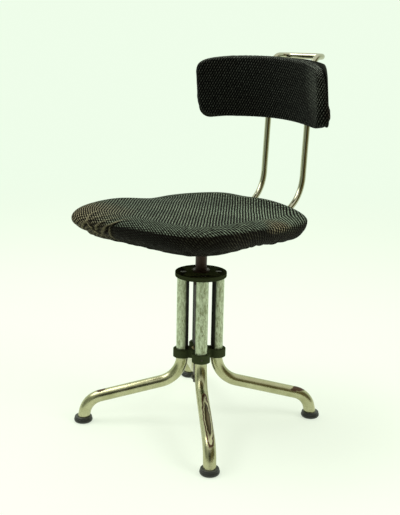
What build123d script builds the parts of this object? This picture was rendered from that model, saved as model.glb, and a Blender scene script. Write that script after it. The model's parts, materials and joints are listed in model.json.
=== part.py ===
from build123d import *
import math
import os

# Swivel drafting chair on four bent tube legs, in millimetres.
# +Z is up, -Y is the way the sitter faces, +X is the sitter's left.
# The origin is on the floor, under the axis of the lifting spindle.

os.makedirs("parts", exist_ok=True)

# ---------------------------------------------------------------- driving dimensions
FIT = 0.05  # radial clearance of pieces that are pushed or slid together
TOUCH = 0.3  # gap between soft pieces and their neighbours

# Legs: four bent tubes on the diagonals
LEG_RADIUS = 12.5
LEG_WALL = 1.5
LEG_PITCH_RADIUS = 36.0
LEG_ANGLES = {
    "front_left": -45.0,
    "rear_left": 45.0,
    "rear_right": 135.0,
    "front_right": -135.0,
}
LEG_UPPER_CORNER_Z = 97.0
LEG_SLOPE = 13.5
LEG_FOOT_LEAN = 12.0
LEG_BEND_RADIUS = 57.0
LEG_ANKLE_RADIUS = 42.0
LEG_END_Z = 4.0
FOOT_CIRCLE_RADIUS = 242.0

# Rubber feet
FOOT_HEIGHT = 12.5
FOOT_RADIUS = 19.2
FOOT_SOLE_RADIUS = 15.8
FOOT_TOP_RADIUS = 16.2
FOOT_GROOVE_RADIUS = 17.6
FOOT_GROOVE_Z = 9.0
FOOT_LIP_RADIUS = 17.9
FOOT_LIP_Z = 11.1

# Top flange, its screws and the spindle nut
FLANGE_TOP_Z = 325.0
FLANGE_THICKNESS = 9.6
FLANGE_RADIUS = 52.8
FLANGE_EDGE_ROUND = 1.2
TUBE_SEAT_DEPTH = 2.0
COUNTERBORE_RADIUS = 7.2
COUNTERBORE_DEPTH = 5.0
LEG_SCREW_SHANK_RADIUS = 4.0
LEG_SCREW_HEAD_RADIUS = 6.6
LEG_SCREW_HEAD_HEIGHT = 4.2
LEG_PLUG_LENGTH = 22.0
NUT_BARREL_RADIUS = 15.5
NUT_COLLAR_RADIUS = 17.5
NUT_COLLAR_HEIGHT = 4.5
NUT_BOTTOM_Z = 298.0
NUT_CHAMFER = 1.0
DOWEL_RADIUS = 1.4
SCREW_SLOT = 1.4

# Lower bracket that ties the four tubes together
BRACKET_TOP_Z = 159.6
BRACKET_HEIGHT = 17.0
BRACKET_RING_RADIUS = 18.8
BRACKET_CORE_RADIUS = 24.0
BRACKET_NECK_FILLET = 7.0
BRACKET_CHAMFER = 0.8
BUSH_RADIUS = 16.0
BUSH_COLLAR_RADIUS = 18.0
BUSH_COLLAR_HEIGHT = 2.0
SET_SCREW_RADIUS = 2.6
SET_SCREW_OUTER_R = 54.2

# Lifting spindle with its end stop
SPINDLE_RADIUS = 11.8
SPINDLE_RUNNING_GAP = 0.06
SPINDLE_SHOULDER_Z = 97.0
SPINDLE_STEM_RADIUS = 8.0
SPINDLE_BOTTOM_Z = 78.0
SPINDLE_CHAMFER = 1.5
STOP_WASHER_RADIUS = 16.5
STOP_WASHER_THICKNESS = 4.0
STOP_WASHER_END_PLAY = 0.1
END_NUT_RADIUS = 13.0
END_NUT_HEIGHT = 8.0
SPLIT_PIN_RADIUS = 1.5
SPLIT_PIN_LENGTH = 22.0
SPLIT_PIN_Z = 81.4

# Seat spider under the seat board
HUB_BOTTOM_Z = 384.0
HUB_TOP_RADIUS = 23.0
HUB_BOTTOM_RADIUS = 19.0
HUB_BORE_TOP_Z = 408.0
HUB_PIN_RADIUS = 3.0
HUB_PIN_Z = 396.0
HUB_PIN_LENGTH = 40.0
SPINDLE_TOP_RADIUS = 10.0
SPIDER_TOP_Z = 414.0
SPIDER_THICKNESS = 4.0
SPIDER_WIDTH = 170.0
SPIDER_DEPTH = 190.0
SPIDER_CORNER = 14.0
BOARD_SCREW_SPACING_X = 148.0
BOARD_SCREW_SPACING_Y = 168.0
BOARD_SCREW_RADIUS = 2.2
BOARD_SCREW_HEAD_RADIUS = 4.2
BOARD_SCREW_HEAD_HEIGHT = 2.0
BOARD_SCREW_LENGTH = 14.0

# Seat: board, foam and cover share one plan outline
SEAT_HALF_WIDTH = 194.0
SEAT_FRONT_Y = -232.0
SEAT_REAR_Y = 160.0
SEAT_FRONT_CORNER = 105.0
SEAT_REAR_CORNER = 150.0
BOARD_THICKNESS = 12.0
BOARD_INSET = 38.0
SEAT_COVER_BOTTOM_Z = 412.0
SEAT_COVER_TOP_Z = 454.0
COVER_THICKNESS = 2.0
SEAT_TOP_ROUND = 15.0
SEAT_UNDER_ROUND = 16.0
SEAT_HEM_WIDTH = 52.0

# Back frame: one bent rod that runs in two blocks under the seat
ROD_RADIUS = 6.7
ROD_HALF_SPACING = 52.0
ROD_FRONT_Y = -74.0
ROD_LOW_Z = 393.0
ROD_SLOPE = 30.0
ROD_LEAN = 3.6
ROD_KNEE_BEND = 76.0
ROD_HEEL_BEND = 60.0
ROD_KNEE_Y = 279.4
ROD_KNEE_Z = 455.3
ROD_TOP_Z = 751.0
ROD_TOP_BEND = 30.0
ROD_LOOP_Y = 348.0
ROD_LOOP_BEND = 20.0
BLOCK_WIDTH = 132.0
BLOCK_DEPTH = 20.0
BLOCK_BOTTOM_Z = 380.0
BLOCK_CORNER = 3.0
BLOCK_Y = {"front": -52.0, "rear": 58.0}
CLAMP_BOLT_RADIUS = 3.0
CLAMP_BOLT_X = 31.0
BOLT_HEAD_RADIUS = 5.2
BOLT_HEAD_HEIGHT = 4.5
LOCK_SCREW_RADIUS = 2.8
LOCK_HEAD_RADIUS = 4.6
LOCK_HEAD_HEIGHT = 3.0

# Carriage that slides on the two uprights and carries the backrest's pivot
PIVOT_Z = 680.0
CLAMP_WIDTH = 30.0
CLAMP_DEPTH = 27.0
CLAMP_HEIGHT = 28.0
CLAMP_CORNER = 6.0
PIVOT_BAR_RADIUS = 5.0
PINCH_SCREW_RADIUS = 3.0
PINCH_HEAD_RADIUS = 6.0
PINCH_HEAD_HEIGHT = 4.5
PIVOT_BAR_END_X = 44.0
SPACER_RADIUS = 8.0

# Backrest: curved steel pan, foam and cover, leaning forward from the pivot
BACK_LEAN = -9.5
BACK_RADIUS = 215.0
BACK_HALF_ANGLE = 48.5
BACK_THICKNESS = 28.0
BACK_HEIGHT = 131.0
BACK_OFFSET_Y = -50.0
BACK_OFFSET_Z = 13.0
BACK_CORNER = 28.0
PAN_THICKNESS = 2.0
BACK_HEM_WIDTH = 18.0
EAR_THICKNESS = 4.0
EAR_OUTER_X = 26.0
EAR_RADIUS = 11.0
WEB_THICKNESS = 3.0
WEB_HALF_HEIGHT = 20.0
WEB_SCREW_X = 14.0
WEB_SCREW_Z = 12.0
WEB_SCREW_RADIUS = 2.0
WEB_SCREW_HEAD_RADIUS = 3.8
WEB_SCREW_HEAD_HEIGHT = 2.2

# ---------------------------------------------------------------- shared values
flange_bottom_z = FLANGE_TOP_Z - FLANGE_THICKNESS
tube_top_z = flange_bottom_z + TUBE_SEAT_DEPTH
bracket_bottom_z = BRACKET_TOP_Z - BRACKET_HEIGHT
leg_bore = LEG_RADIUS - LEG_WALL
plate_bottom_z = SPIDER_TOP_Z - SPIDER_THICKNESS
leg_axes = [
    (
        LEG_PITCH_RADIUS * math.cos(math.radians(angle)),
        LEG_PITCH_RADIUS * math.sin(math.radians(angle)),
    )
    for angle in LEG_ANGLES.values()
]
# Two dowels, half in the nut and half in the flange, keep the nut from turning.
dowel_places = [(0, NUT_BARREL_RADIUS), (0, -NUT_BARREL_RADIUS)]


def save(piece, name):
    """Label a finished piece and write it as its own STEP file."""
    piece.part.label = name
    export_step(piece.part, f"parts/{name}.step")


# ---------------------------------------------------------------- legs and feet
# The leg's ankle corner lies on the slope line, above the middle of the foot.
slope = math.tan(math.radians(LEG_SLOPE))
foot_lean = math.tan(math.radians(LEG_FOOT_LEAN))
foot_middle_z = FOOT_HEIGHT / 2
ankle_r = FOOT_CIRCLE_RADIUS - foot_lean * (
    LEG_UPPER_CORNER_Z - slope * (FOOT_CIRCLE_RADIUS - LEG_PITCH_RADIUS) - foot_middle_z
) / (1 - foot_lean * slope)
ankle_z = LEG_UPPER_CORNER_Z - slope * (ankle_r - LEG_PITCH_RADIUS)
leg_end_r = ankle_r + foot_lean * (ankle_z - LEG_END_Z)


def leg_plane(angle):
    """Upright plane through the column axis; its X points outwards and its Y up."""
    turn = math.radians(angle)
    return Plane(
        origin=(0, 0, 0),
        x_dir=(math.cos(turn), math.sin(turn), 0),
        z_dir=(math.sin(turn), -math.cos(turn), 0),
    )


def outward_plane(angle, radius):
    """Plane at the lower bracket's mid height, facing outwards along one leg's diagonal."""
    turn = math.radians(angle)
    return Plane(
        origin=(
            radius * math.cos(turn),
            radius * math.sin(turn),
            BRACKET_TOP_Z - BRACKET_HEIGHT / 2,
        ),
        x_dir=(-math.sin(turn), math.cos(turn), 0),
        z_dir=(math.cos(turn), math.sin(turn), 0),
    )


def leg_route(plane):
    """Centre line of one leg, from the flange down and out to the foot."""
    with BuildLine(plane) as route:
        FilletPolyline(
            (LEG_PITCH_RADIUS, tube_top_z),
            (LEG_PITCH_RADIUS, LEG_UPPER_CORNER_Z),
            (ankle_r, ankle_z),
            (leg_end_r, LEG_END_Z),
            radius=[LEG_BEND_RADIUS, LEG_ANKLE_RADIUS],
        )
    return route.line


for place, angle in LEG_ANGLES.items():
    plane = leg_plane(angle)
    centre_line = leg_route(plane)

    with BuildPart() as leg:
        with BuildSketch(Plane(origin=centre_line @ 0, z_dir=centre_line % 0)):
            Circle(LEG_RADIUS)
            Circle(leg_bore, mode=Mode.SUBTRACT)
        sweep(path=centre_line)
    save(leg, f"leg_{place}")

    # A rounded rubber ferrule with a groove round it and a slanted socket for the tube
    foot_x = FOOT_CIRCLE_RADIUS * math.cos(math.radians(angle))
    foot_y = FOOT_CIRCLE_RADIUS * math.sin(math.radians(angle))
    with BuildPart() as foot:
        with BuildSketch(Plane((foot_x, foot_y, 0), x_dir=(1, 0, 0), z_dir=(0, -1, 0))):
            with BuildLine():
                Polyline((0, FOOT_HEIGHT), (0, 0), (FOOT_SOLE_RADIUS, 0))
                ThreePointArc(
                    (FOOT_SOLE_RADIUS, 0),
                    (FOOT_RADIUS, foot_middle_z),
                    (FOOT_GROOVE_RADIUS, FOOT_GROOVE_Z),
                )
                ThreePointArc(
                    (FOOT_GROOVE_RADIUS, FOOT_GROOVE_Z),
                    (FOOT_LIP_RADIUS, FOOT_LIP_Z),
                    (FOOT_TOP_RADIUS, FOOT_HEIGHT),
                )
                Line((FOOT_TOP_RADIUS, FOOT_HEIGHT), (0, FOOT_HEIGHT))
            make_face()
        revolve(axis=Axis((foot_x, foot_y, 0), (0, 0, 1)))
        with BuildSketch(Plane(origin=centre_line @ 1, z_dir=-(centre_line % 1))):
            Circle(LEG_RADIUS + FIT)
        extrude(amount=2 * FOOT_HEIGHT, mode=Mode.SUBTRACT)
    save(foot, f"foot_{place}")

with BuildPart() as leg_plugs:
    with BuildSketch(Plane.XY.offset(tube_top_z - LEG_PLUG_LENGTH)):
        with Locations(leg_axes):
            Circle(leg_bore)
            Circle(LEG_SCREW_SHANK_RADIUS, mode=Mode.SUBTRACT)
    extrude(amount=LEG_PLUG_LENGTH)
save(leg_plugs, "leg_plugs")

# ---------------------------------------------------------------- top flange and spindle nut
with BuildPart() as top_flange:
    with BuildSketch(Plane.XY.offset(flange_bottom_z)):
        Circle(FLANGE_RADIUS)
    extrude(amount=FLANGE_THICKNESS)
    fillet(top_flange.edges().filter_by(GeomType.CIRCLE), radius=FLANGE_EDGE_ROUND)
    with BuildSketch(Plane.XY.offset(flange_bottom_z)):
        Circle(NUT_BARREL_RADIUS + FIT)
        with Locations(leg_axes):
            Circle(LEG_SCREW_SHANK_RADIUS + FIT)
        with Locations(dowel_places):
            Circle(DOWEL_RADIUS)
    extrude(amount=FLANGE_THICKNESS, mode=Mode.SUBTRACT)
    with BuildSketch(Plane.XY.offset(flange_bottom_z)):
        with Locations(leg_axes):
            Circle(LEG_RADIUS + FIT)
    extrude(amount=TUBE_SEAT_DEPTH, mode=Mode.SUBTRACT)
    with BuildSketch(Plane.XY.offset(FLANGE_TOP_Z - COUNTERBORE_DEPTH)):
        with Locations(leg_axes):
            Circle(COUNTERBORE_RADIUS)
    extrude(amount=COUNTERBORE_DEPTH, mode=Mode.SUBTRACT)
save(top_flange, "top_flange")

leg_screw_seat_z = FLANGE_TOP_Z - COUNTERBORE_DEPTH
with BuildPart() as leg_screws:
    with BuildSketch(Plane.XY.offset(tube_top_z - LEG_PLUG_LENGTH)):
        with Locations(leg_axes):
            Circle(LEG_SCREW_SHANK_RADIUS)
    extrude(amount=leg_screw_seat_z - tube_top_z + LEG_PLUG_LENGTH)
    with BuildSketch(Plane.XY.offset(leg_screw_seat_z)):
        with Locations(leg_axes):
            Circle(LEG_SCREW_HEAD_RADIUS)
    extrude(amount=LEG_SCREW_HEAD_HEIGHT)
    with BuildSketch(Plane.XY.offset(leg_screw_seat_z + LEG_SCREW_HEAD_HEIGHT)):
        with Locations(leg_axes):
            Rectangle(2 * LEG_SCREW_HEAD_RADIUS, SCREW_SLOT)
    extrude(amount=-LEG_SCREW_HEAD_HEIGHT / 2, mode=Mode.SUBTRACT)
save(leg_screws, "leg_screws")

with BuildPart() as spindle_nut:
    with BuildSketch(Plane.XY.offset(NUT_BOTTOM_Z)):
        Circle(NUT_BARREL_RADIUS)
    extrude(amount=FLANGE_TOP_Z - NUT_BOTTOM_Z)
    with BuildSketch(Plane.XY.offset(FLANGE_TOP_Z)):
        Circle(NUT_COLLAR_RADIUS)
    extrude(amount=NUT_COLLAR_HEIGHT)
    chamfer(spindle_nut.edges().group_by(Axis.Z)[-1], length=NUT_CHAMFER)
    with BuildSketch(Plane.XY.offset(NUT_BOTTOM_Z)):
        Circle(SPINDLE_RADIUS + SPINDLE_RUNNING_GAP)
    extrude(amount=FLANGE_TOP_Z + NUT_COLLAR_HEIGHT - NUT_BOTTOM_Z, mode=Mode.SUBTRACT)
    with BuildSketch(Plane.XY.offset(flange_bottom_z)):
        with Locations(dowel_places):
            Circle(DOWEL_RADIUS)
    extrude(amount=FLANGE_THICKNESS + NUT_COLLAR_HEIGHT, mode=Mode.SUBTRACT)
save(spindle_nut, "spindle_nut")

with BuildPart() as nut_dowels:
    with BuildSketch(Plane.XY.offset(flange_bottom_z)):
        with Locations(dowel_places):
            Circle(DOWEL_RADIUS)
    extrude(amount=FLANGE_THICKNESS + NUT_COLLAR_HEIGHT)
save(nut_dowels, "nut_dowels")

# ---------------------------------------------------------------- lower bracket and guide bush
with BuildPart() as lower_bracket:
    with BuildSketch(Plane.XY.offset(bracket_bottom_z)) as outline:
        Circle(BRACKET_CORE_RADIUS)
        with Locations(leg_axes):
            Circle(BRACKET_RING_RADIUS)
        fillet(outline.vertices(), radius=BRACKET_NECK_FILLET)
    extrude(amount=BRACKET_HEIGHT)
    chamfer(lower_bracket.edges().group_by(Axis.Z)[-1], length=BRACKET_CHAMFER)
    with BuildSketch(Plane.XY.offset(bracket_bottom_z)):
        Circle(BUSH_RADIUS + FIT)
        with Locations(leg_axes):
            Circle(LEG_RADIUS + FIT)
    extrude(amount=BRACKET_HEIGHT, mode=Mode.SUBTRACT)
    for angle in LEG_ANGLES.values():
        with BuildSketch(outward_plane(angle, LEG_PITCH_RADIUS)):
            Circle(SET_SCREW_RADIUS)
        extrude(amount=2 * BRACKET_RING_RADIUS, mode=Mode.SUBTRACT)
save(lower_bracket, "lower_bracket")

with BuildPart() as bracket_set_screws:
    for angle in LEG_ANGLES.values():
        with BuildSketch(outward_plane(angle, LEG_PITCH_RADIUS + LEG_RADIUS + FIT)):
            Circle(SET_SCREW_RADIUS)
        extrude(amount=SET_SCREW_OUTER_R - LEG_PITCH_RADIUS - LEG_RADIUS - FIT)
        with BuildSketch(outward_plane(angle, SET_SCREW_OUTER_R)):
            Rectangle(2 * SET_SCREW_RADIUS, SCREW_SLOT)
        extrude(amount=-SET_SCREW_RADIUS / 2, mode=Mode.SUBTRACT)
save(bracket_set_screws, "bracket_set_screws")

with BuildPart() as guide_bush:
    with BuildSketch(Plane.XY.offset(bracket_bottom_z)):
        Circle(BUSH_RADIUS)
    extrude(amount=BRACKET_HEIGHT)
    with BuildSketch(Plane.XY.offset(bracket_bottom_z)):
        Circle(BUSH_COLLAR_RADIUS)
    extrude(amount=-BUSH_COLLAR_HEIGHT)
    with BuildSketch(Plane.XY.offset(bracket_bottom_z - BUSH_COLLAR_HEIGHT)):
        Circle(SPINDLE_RADIUS + SPINDLE_RUNNING_GAP)
    extrude(amount=BRACKET_HEIGHT + BUSH_COLLAR_HEIGHT, mode=Mode.SUBTRACT)
save(guide_bush, "guide_bush")

# ---------------------------------------------------------------- lifting spindle and end stop
with BuildPart() as spindle:
    with BuildSketch(Plane.XY.offset(SPINDLE_BOTTOM_Z)):
        Circle(SPINDLE_STEM_RADIUS)
    extrude(amount=SPINDLE_SHOULDER_Z - SPINDLE_BOTTOM_Z)
    with BuildSketch(Plane.XY.offset(SPINDLE_SHOULDER_Z)):
        Circle(SPINDLE_RADIUS)
    extrude(amount=HUB_BOTTOM_Z - SPINDLE_SHOULDER_Z)
    with BuildSketch(Plane.XY.offset(HUB_BOTTOM_Z)):
        Circle(SPINDLE_TOP_RADIUS)
    extrude(amount=HUB_BORE_TOP_Z - HUB_BOTTOM_Z)
    chamfer(spindle.edges().group_by(Axis.Z)[0], length=SPINDLE_CHAMFER)
    with BuildSketch(Plane.YZ.offset(-HUB_PIN_LENGTH / 2)):
        with Locations((0, HUB_PIN_Z)):
            Circle(HUB_PIN_RADIUS)
        with Locations((0, SPLIT_PIN_Z)):
            Circle(SPLIT_PIN_RADIUS)
    extrude(amount=HUB_PIN_LENGTH, mode=Mode.SUBTRACT)
save(spindle, "spindle")

washer_top_z = SPINDLE_SHOULDER_Z - STOP_WASHER_END_PLAY
with BuildPart() as stop_washer:
    with BuildSketch(Plane.XY.offset(washer_top_z)):
        Circle(STOP_WASHER_RADIUS)
        Circle(SPINDLE_STEM_RADIUS + SPINDLE_RUNNING_GAP, mode=Mode.SUBTRACT)
    extrude(amount=-STOP_WASHER_THICKNESS)
save(stop_washer, "stop_washer")

end_nut_top_z = washer_top_z - STOP_WASHER_THICKNESS - STOP_WASHER_END_PLAY
with BuildPart() as end_nut:
    with BuildSketch(Plane.XY.offset(end_nut_top_z)):
        RegularPolygon(END_NUT_RADIUS, 6)
        Circle(SPINDLE_STEM_RADIUS, mode=Mode.SUBTRACT)
    extrude(amount=-END_NUT_HEIGHT)
save(end_nut, "end_nut")

with BuildPart() as split_pin:
    with BuildSketch(Plane.YZ.offset(-SPLIT_PIN_LENGTH / 2)):
        with Locations((0, SPLIT_PIN_Z)):
            Circle(SPLIT_PIN_RADIUS)
    extrude(amount=SPLIT_PIN_LENGTH)
save(split_pin, "split_pin")

# ---------------------------------------------------------------- seat spider on the spindle
bolt_places = [(x, y) for x in (-CLAMP_BOLT_X, CLAMP_BOLT_X) for y in BLOCK_Y.values()]
with BuildPart() as seat_spider:
    with BuildSketch(Plane.XY.offset(plate_bottom_z)):
        RectangleRounded(SPIDER_WIDTH, SPIDER_DEPTH, SPIDER_CORNER)
    extrude(amount=SPIDER_THICKNESS)
    with Locations((0, 0, HUB_BOTTOM_Z)):
        Cone(
            HUB_BOTTOM_RADIUS,
            HUB_TOP_RADIUS,
            plate_bottom_z - HUB_BOTTOM_Z,
            align=(Align.CENTER, Align.CENTER, Align.MIN),
        )
    with BuildSketch(Plane.XY.offset(HUB_BOTTOM_Z)):
        Circle(SPINDLE_TOP_RADIUS + FIT)
    extrude(amount=HUB_BORE_TOP_Z + TOUCH - HUB_BOTTOM_Z, mode=Mode.SUBTRACT)
    with BuildSketch(Plane.YZ.offset(-HUB_TOP_RADIUS)):
        with Locations((0, HUB_PIN_Z)):
            Circle(HUB_PIN_RADIUS)
    extrude(amount=2 * HUB_TOP_RADIUS, mode=Mode.SUBTRACT)
    with BuildSketch(Plane.XY.offset(plate_bottom_z)):
        with GridLocations(BOARD_SCREW_SPACING_X, BOARD_SCREW_SPACING_Y, 2, 2):
            Circle(BOARD_SCREW_RADIUS + FIT)
        with Locations(bolt_places):
            Circle(CLAMP_BOLT_RADIUS + FIT)
    extrude(amount=SPIDER_THICKNESS, mode=Mode.SUBTRACT)
save(seat_spider, "seat_spider")

with BuildPart() as hub_pin:
    with BuildSketch(Plane.YZ.offset(-HUB_PIN_LENGTH / 2)):
        with Locations((0, HUB_PIN_Z)):
            Circle(HUB_PIN_RADIUS)
    extrude(amount=HUB_PIN_LENGTH)
save(hub_pin, "hub_pin")

with BuildPart() as board_screws:
    with BuildSketch(Plane.XY.offset(plate_bottom_z)):
        with GridLocations(BOARD_SCREW_SPACING_X, BOARD_SCREW_SPACING_Y, 2, 2):
            Circle(BOARD_SCREW_HEAD_RADIUS)
    extrude(amount=-BOARD_SCREW_HEAD_HEIGHT)
    with BuildSketch(Plane.XY.offset(plate_bottom_z)):
        with GridLocations(BOARD_SCREW_SPACING_X, BOARD_SCREW_SPACING_Y, 2, 2):
            Circle(BOARD_SCREW_RADIUS)
    extrude(amount=BOARD_SCREW_LENGTH)
save(board_screws, "board_screws")


# ---------------------------------------------------------------- seat board, foam and cover
def seat_outline(inset):
    """Plan of the seat, drawn in from its edge; squarer in front than behind."""
    with BuildSketch() as outline:
        with Locations((0, (SEAT_FRONT_Y + SEAT_REAR_Y) / 2)):
            Rectangle(
                2 * (SEAT_HALF_WIDTH - inset),
                SEAT_REAR_Y - SEAT_FRONT_Y - 2 * inset,
            )
        fillet(outline.vertices().group_by(Axis.Y)[0], radius=SEAT_FRONT_CORNER - inset)
        fillet(outline.vertices().group_by(Axis.Y)[-1], radius=SEAT_REAR_CORNER - inset)
    return outline.sketch


def seat_block(inset):
    """Solid of the whole seat with rounded rims, drawn in on every side."""
    plan = seat_outline(inset)
    with BuildPart() as block:
        with BuildSketch(Plane.XY.offset(SEAT_COVER_BOTTOM_Z + inset)):
            add(plan)
        extrude(amount=SEAT_COVER_TOP_Z - SEAT_COVER_BOTTOM_Z - 2 * inset)
        fillet(block.faces().sort_by(Axis.Z)[-1].edges(), radius=SEAT_TOP_ROUND - inset)
        fillet(block.faces().sort_by(Axis.Z)[0].edges(), radius=SEAT_UNDER_ROUND - inset)
    return block.part


seat_outside = seat_block(0)
seat_inside = seat_block(COVER_THICKNESS)
board_plan = seat_outline(BOARD_INSET)
hem_plan = seat_outline(SEAT_HEM_WIDTH)

with BuildPart() as seat_board:
    with BuildSketch(Plane.XY.offset(SPIDER_TOP_Z)):
        add(board_plan)
    extrude(amount=BOARD_THICKNESS)
    with BuildSketch(Plane.XY.offset(SPIDER_TOP_Z)):
        with GridLocations(BOARD_SCREW_SPACING_X, BOARD_SCREW_SPACING_Y, 2, 2):
            Circle(BOARD_SCREW_RADIUS)
    extrude(amount=BOARD_SCREW_LENGTH - SPIDER_THICKNESS, mode=Mode.SUBTRACT)
save(seat_board, "seat_board")

with BuildPart() as seat_pad:
    add(seat_inside)
    with BuildSketch(Plane.XY.offset(SPIDER_TOP_Z)):
        add(board_plan)
    extrude(amount=BOARD_THICKNESS, mode=Mode.SUBTRACT)
save(seat_pad, "seat_pad")

with BuildPart() as seat_cover:
    add(seat_outside)
    add(seat_inside, mode=Mode.SUBTRACT)
    with BuildSketch(Plane.XY.offset(SEAT_COVER_BOTTOM_Z)):
        add(hem_plan)
    extrude(amount=COVER_THICKNESS, mode=Mode.SUBTRACT)
save(seat_cover, "seat_cover")

# ---------------------------------------------------------------- back frame and its blocks
lean = math.radians(ROD_LEAN)
heel_y = ROD_KNEE_Y - (ROD_KNEE_Z - ROD_LOW_Z) / math.tan(math.radians(ROD_SLOPE))
rod_top_y = ROD_KNEE_Y + (ROD_TOP_Z - ROD_KNEE_Z) * math.tan(lean)
left_side = [
    (ROD_HALF_SPACING, ROD_FRONT_Y, ROD_LOW_Z),
    (ROD_HALF_SPACING, heel_y, ROD_LOW_Z),
    (ROD_HALF_SPACING, ROD_KNEE_Y, ROD_KNEE_Z),
    (ROD_HALF_SPACING, rod_top_y, ROD_TOP_Z),
    (ROD_HALF_SPACING, ROD_LOOP_Y, ROD_TOP_Z),
]
right_side = [(-x, y, z) for x, y, z in reversed(left_side)]
side_bends = [ROD_HEEL_BEND, ROD_KNEE_BEND, ROD_TOP_BEND, ROD_LOOP_BEND]

with BuildPart() as back_frame:
    with BuildLine() as rod_route:
        FilletPolyline(*left_side, *right_side, radius=side_bends + side_bends[::-1])
    with BuildSketch(Plane(origin=rod_route.line @ 0, z_dir=rod_route.line % 0)):
        Circle(ROD_RADIUS)
    sweep(path=rod_route.line)
save(back_frame, "back_frame")

for place, block_y in BLOCK_Y.items():
    with BuildPart() as rod_block:
        with BuildSketch(Plane.XY.offset(BLOCK_BOTTOM_Z)):
            with Locations((0, block_y)):
                RectangleRounded(BLOCK_WIDTH, BLOCK_DEPTH, BLOCK_CORNER)
        extrude(amount=plate_bottom_z - BLOCK_BOTTOM_Z)
        with BuildSketch(Plane.XZ.offset(-block_y - BLOCK_DEPTH / 2)):
            with Locations((-ROD_HALF_SPACING, ROD_LOW_Z), (ROD_HALF_SPACING, ROD_LOW_Z)):
                Circle(ROD_RADIUS + FIT)
        extrude(amount=BLOCK_DEPTH, mode=Mode.SUBTRACT)
        with BuildSketch(Plane.XY.offset(BLOCK_BOTTOM_Z)):
            with Locations((-CLAMP_BOLT_X, block_y), (CLAMP_BOLT_X, block_y)):
                Circle(CLAMP_BOLT_RADIUS + FIT)
        extrude(amount=plate_bottom_z - BLOCK_BOTTOM_Z, mode=Mode.SUBTRACT)
        with BuildSketch(Plane.XY.offset(BLOCK_BOTTOM_Z)):
            with Locations((-ROD_HALF_SPACING, block_y), (ROD_HALF_SPACING, block_y)):
                Circle(LOCK_SCREW_RADIUS)
        extrude(amount=ROD_LOW_Z - BLOCK_BOTTOM_Z, mode=Mode.SUBTRACT)
    save(rod_block, f"rod_block_{place}")

with BuildPart() as block_bolts:
    with BuildSketch(Plane.XY.offset(BLOCK_BOTTOM_Z)):
        with Locations(bolt_places):
            RegularPolygon(BOLT_HEAD_RADIUS, 6)
    extrude(amount=-BOLT_HEAD_HEIGHT)
    with BuildSketch(Plane.XY.offset(BLOCK_BOTTOM_Z)):
        with Locations(bolt_places):
            Circle(CLAMP_BOLT_RADIUS)
    extrude(amount=SPIDER_TOP_Z - BLOCK_BOTTOM_Z)
save(block_bolts, "block_bolts")

lock_places = [(x, y) for x in (-ROD_HALF_SPACING, ROD_HALF_SPACING) for y in BLOCK_Y.values()]
with BuildPart() as rod_lock_screws:
    with BuildSketch(Plane.XY.offset(BLOCK_BOTTOM_Z)):
        with Locations(lock_places):
            Circle(LOCK_HEAD_RADIUS)
    extrude(amount=-LOCK_HEAD_HEIGHT)
    with BuildSketch(Plane.XY.offset(BLOCK_BOTTOM_Z)):
        with Locations(lock_places):
            Circle(LOCK_SCREW_RADIUS)
    extrude(amount=ROD_LOW_Z - ROD_RADIUS - FIT - BLOCK_BOTTOM_Z)
save(rod_lock_screws, "rod_lock_screws")

# ---------------------------------------------------------------- carriage on the uprights
pivot_y = ROD_KNEE_Y + (PIVOT_Z - ROD_KNEE_Z) * math.tan(lean)
rod_plane = Plane(
    origin=(0, pivot_y, PIVOT_Z),
    x_dir=(1, 0, 0),
    z_dir=(0, math.sin(lean), math.cos(lean)),
)
block_inner_x = ROD_HALF_SPACING - CLAMP_WIDTH / 2
block_outer_x = ROD_HALF_SPACING + CLAMP_WIDTH / 2


def side_plane(x, side):
    """Plane square to X at the pivot's height, facing away from the middle."""
    return Plane(origin=(side * x, pivot_y, PIVOT_Z), x_dir=(0, side, 0), z_dir=(side, 0, 0))


for place, side in {"left": 1, "right": -1}.items():
    with BuildPart() as back_clamp:
        with BuildSketch(rod_plane.offset(-CLAMP_HEIGHT / 2)):
            with Locations((side * ROD_HALF_SPACING, 0)):
                RectangleRounded(CLAMP_WIDTH, CLAMP_DEPTH, CLAMP_CORNER)
        extrude(amount=CLAMP_HEIGHT)
        with BuildSketch(rod_plane.offset(-CLAMP_HEIGHT / 2)):
            with Locations((side * ROD_HALF_SPACING, 0)):
                Circle(ROD_RADIUS + SPINDLE_RUNNING_GAP)
        extrude(amount=CLAMP_HEIGHT, mode=Mode.SUBTRACT)
        with BuildSketch(side_plane(block_inner_x, side)):
            Circle(PIVOT_BAR_RADIUS)
        extrude(amount=PIVOT_BAR_END_X - block_inner_x, mode=Mode.SUBTRACT)
        with BuildSketch(side_plane(ROD_HALF_SPACING, side)):
            Circle(PINCH_SCREW_RADIUS)
        extrude(amount=CLAMP_WIDTH / 2, mode=Mode.SUBTRACT)
    save(back_clamp, f"back_clamp_{place}")

with BuildPart() as back_pinch_screws:
    for side in (1, -1):
        with BuildSketch(side_plane(ROD_HALF_SPACING + ROD_RADIUS + TOUCH, side)):
            Circle(PINCH_SCREW_RADIUS)
        extrude(amount=CLAMP_WIDTH / 2 - ROD_RADIUS - TOUCH)
        with BuildSketch(side_plane(block_outer_x, side)):
            RegularPolygon(PINCH_HEAD_RADIUS, 6)
        extrude(amount=PINCH_HEAD_HEIGHT)
save(back_pinch_screws, "back_pinch_screws")

with BuildPart() as pivot_bar:
    with BuildSketch(side_plane(-PIVOT_BAR_END_X, 1)):
        Circle(PIVOT_BAR_RADIUS)
    extrude(amount=2 * PIVOT_BAR_END_X)
save(pivot_bar, "pivot_bar")

with BuildPart() as pivot_spacers:
    for side in (1, -1):
        with BuildSketch(side_plane(EAR_OUTER_X + TOUCH, side)):
            Circle(SPACER_RADIUS)
            Circle(PIVOT_BAR_RADIUS + FIT, mode=Mode.SUBTRACT)
        extrude(amount=block_inner_x - EAR_OUTER_X - TOUCH)
save(pivot_spacers, "pivot_spacers")

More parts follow.
